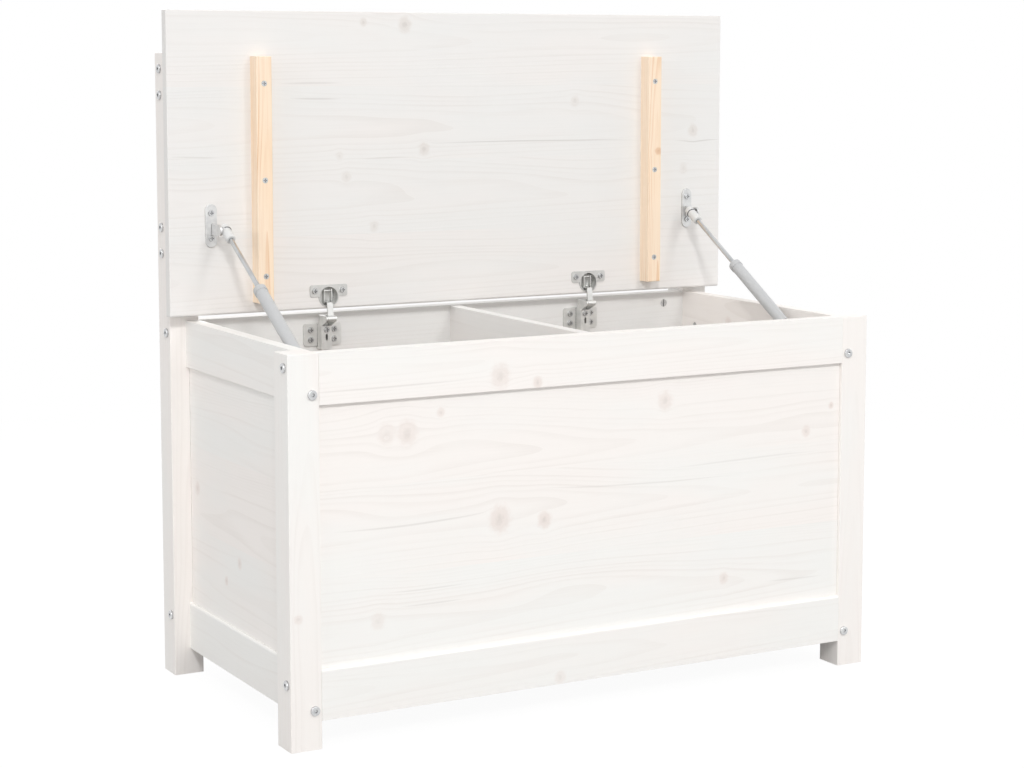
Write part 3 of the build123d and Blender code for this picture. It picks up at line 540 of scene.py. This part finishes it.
spring_steel = plated_steel("blued_spring_steel", "#6A6C6F", "#7C7E80", 0.24, 0.36)
black_rubber = satin_paint("black_rubber", "#5B5B5C", "#6A6A6B", 0.62, 0.0010)
for word, side in (("left", -1), ("right", 1)):
    # the wire is swept round the side of the socket that faces away from the ball's neck
    clip = bmesh.new()
    upright = Matrix.Rotation(math.pi / 2, 4, "X")
    bmesh.ops.create_circle(clip, radius=CLIP_WIRE, segments=10, matrix=upright)
    bmesh.ops.translate(clip, vec=(SOCKET_RADIUS + CLIP_WIRE / 2, 0, 0), verts=clip.verts)
    start = Matrix.Rotation((math.pi if side > 0 else 0) - CLIP_SWEEP / 2, 3, "Z")
    bmesh.ops.rotate(clip, cent=(0, 0, 0), matrix=start, verts=clip.verts)
    bmesh.ops.spin(
        clip, geom=clip.verts[:] + clip.edges[:], cent=(0, 0, 0), axis=(0, 0, 1),
        angle=CLIP_SWEEP, steps=TURN_STEPS,
    )
    bmesh.ops.holes_fill(clip, edges=[edge for edge in clip.edges if edge.is_boundary])
    fitting(f"{word}_socket_clip", clip, side, CLIP_FROM_BALL, spring_steel, f"{word}_rod")

    # the wiper is a square ring with rounded edges, seated on the cylinder's mouth
    wiper = bmesh.new()
    inner, outer = WIPER_REACH
    profile = ((inner, 0), (outer, 0), (outer, -WIPER_HEIGHT), (inner, -WIPER_HEIGHT))
    corners = [wiper.verts.new((reach, 0, height)) for reach, height in profile]
    for first, second in zip(corners, corners[1:] + corners[:1]):
        wiper.edges.new((first, second))
    bmesh.ops.bevel(
        wiper, geom=corners[2:], offset=WIPER_ROUND, affect="VERTICES", segments=3, profile=0.5, material=-1,
    )
    bmesh.ops.spin(
        wiper, geom=wiper.verts[:] + wiper.edges[:], cent=(0, 0, 0), axis=(0, 0, 1),
        angle=2 * math.pi, steps=TURN_STEPS, use_merge=True,
    )
    fitting(
        f"{word}_rod_wiper", wiper, side, MOUTH_FROM_BALL, black_rubber, f"{word}_cylinder",
    )


# Studio: a pale floor that runs out to a white backdrop, with soft boxes in front, at both sides and behind.
# Floor and backdrop are white to the camera and to mirrors, and plain grey white to other light.
FLOOR_HALF = 9.0
FLOOR_DROP = 0.0003
FLOOR_GREY = "#AAAAAA"
FLOOR_GLOW = 0.95
FLOOR_SHADED = 0.07
FLOOR_FADE = (0.9, 2.2)
WHITE = linear("#FFFFFF")
AMBIENT = 0.68


def seen_directly(tree):
    """1 for rays of the camera, of gloss and of glass, and 0 for light that bounces about."""
    rays = add(tree, "LightPath").outputs
    direct = add(tree, "Math", {0: rays["Is Camera Ray"], 1: rays["Is Glossy Ray"]}, operation="ADD")
    return add(tree, "Math", {
        0: direct, 1: rays["Is Transmission Ray"],
    }, operation="ADD", use_clamp=True)


# close to the bench the floor's white is part glow and part shade, so that it keeps the bench's shadow
bpy.ops.mesh.primitive_plane_add(size=2 * FLOOR_HALF, location=(0, 0, -FLOOR_DROP))
floor = bpy.context.object
floor.name = "studio_floor"
floor_white, tree = new_finish("studio_floor_white")
lit = add(tree, "BsdfDiffuse", {"Color": linear(FLOOR_GREY)})
shaded = add(tree, "AddShader", {
    0: add(tree, "Emission", {"Color": WHITE, "Strength": FLOOR_GLOW}),
    1: add(tree, "BsdfDiffuse", {"Color": [FLOOR_SHADED] * 3 + [1.0]}),
})
place = add(tree, "TexCoord").outputs["Object"]
distance = add(tree, "VectorMath", {0: place}, operation="LENGTH").outputs["Value"]
far = add(tree, "MapRange", {
    0: distance, 1: FLOOR_FADE[0], 2: FLOOR_FADE[1],
}, interpolation_type="SMOOTHSTEP")
backdrop = add(tree, "Emission", {"Color": WHITE, "Strength": 1.0})
seen = add(tree, "MixShader", {0: far, 1: shaded, 2: backdrop})
add(tree, "OutputMaterial", {0: add(tree, "MixShader", {0: seen_directly(tree), 1: lit, 2: seen})})
floor.data.materials.append(floor_white)

world = bpy.data.worlds.new("studio_white")
scene.world = world
world.use_nodes = True
tree = world.node_tree
tree.nodes.clear()
add(tree, "OutputWorld", {
    0: add(tree, "MixShader", {
        0: seen_directly(tree),
        1: add(tree, "Background", {"Color": WHITE, "Strength": AMBIENT}),
        2: add(tree, "Background", {"Color": WHITE, "Strength": 1.0}),
    }),
})

for name, place, aim, size, power in (
    ("left_softbox", (-2.5, -5.2, 4.4), (0, 0, 0.40), 0.8, 140.0),
    ("right_softbox", (1.9, -5.4, 4.8), (0, 0, 0.40), 1.5, 86.0),
    ("left_side_softbox", (-5.8, -1.4, 2.6), (0, 0, 0.40), 2.6, 52.0),
    ("right_side_softbox", (5.8, -0.6, 2.6), (0, 0, 0.40), 2.6, 52.0),
    ("rear_softbox", (0.8, 6.0, 2.8), (0, 0, 0.40), 3.0, 160.0),
    ("low_softbox", (-1.1, -6.8, 0.5), (0, 0, 0.30), 2.6, 42.0),
):
    light = bpy.data.lights.new(name, "AREA")
    light.size = size
    light.energy = power
    lamp = bpy.data.objects.new(name, light)
    lamp.location = place
    lamp.rotation_euler = (Vector(aim) - Vector(place)).to_track_quat("-Z", "Y").to_euler()
    scene.collection.objects.link(lamp)


# Camera: set to the left of the bench at lid height, at the photograph's angle.
# It looks slightly down, and a small shift keeps the whole bench in the frame.
CAMERA_PLACE = (-1.3402, -2.4151, 0.7607)
CAMERA_YAW = 28.95
CAMERA_PITCH = -6.17
camera_data = bpy.data.cameras.new("camera")
camera_data.sensor_width = 36.0
camera_data.lens = 78.52
camera_data.shift_y = -0.08
camera = bpy.data.objects.new("camera", camera_data)
camera.location = CAMERA_PLACE
camera.rotation_euler = (math.radians(90 + CAMERA_PITCH), 0, math.radians(-CAMERA_YAW))
scene.collection.objects.link(camera)
scene.camera = camera
scene.view_settings.view_transform = "Standard"
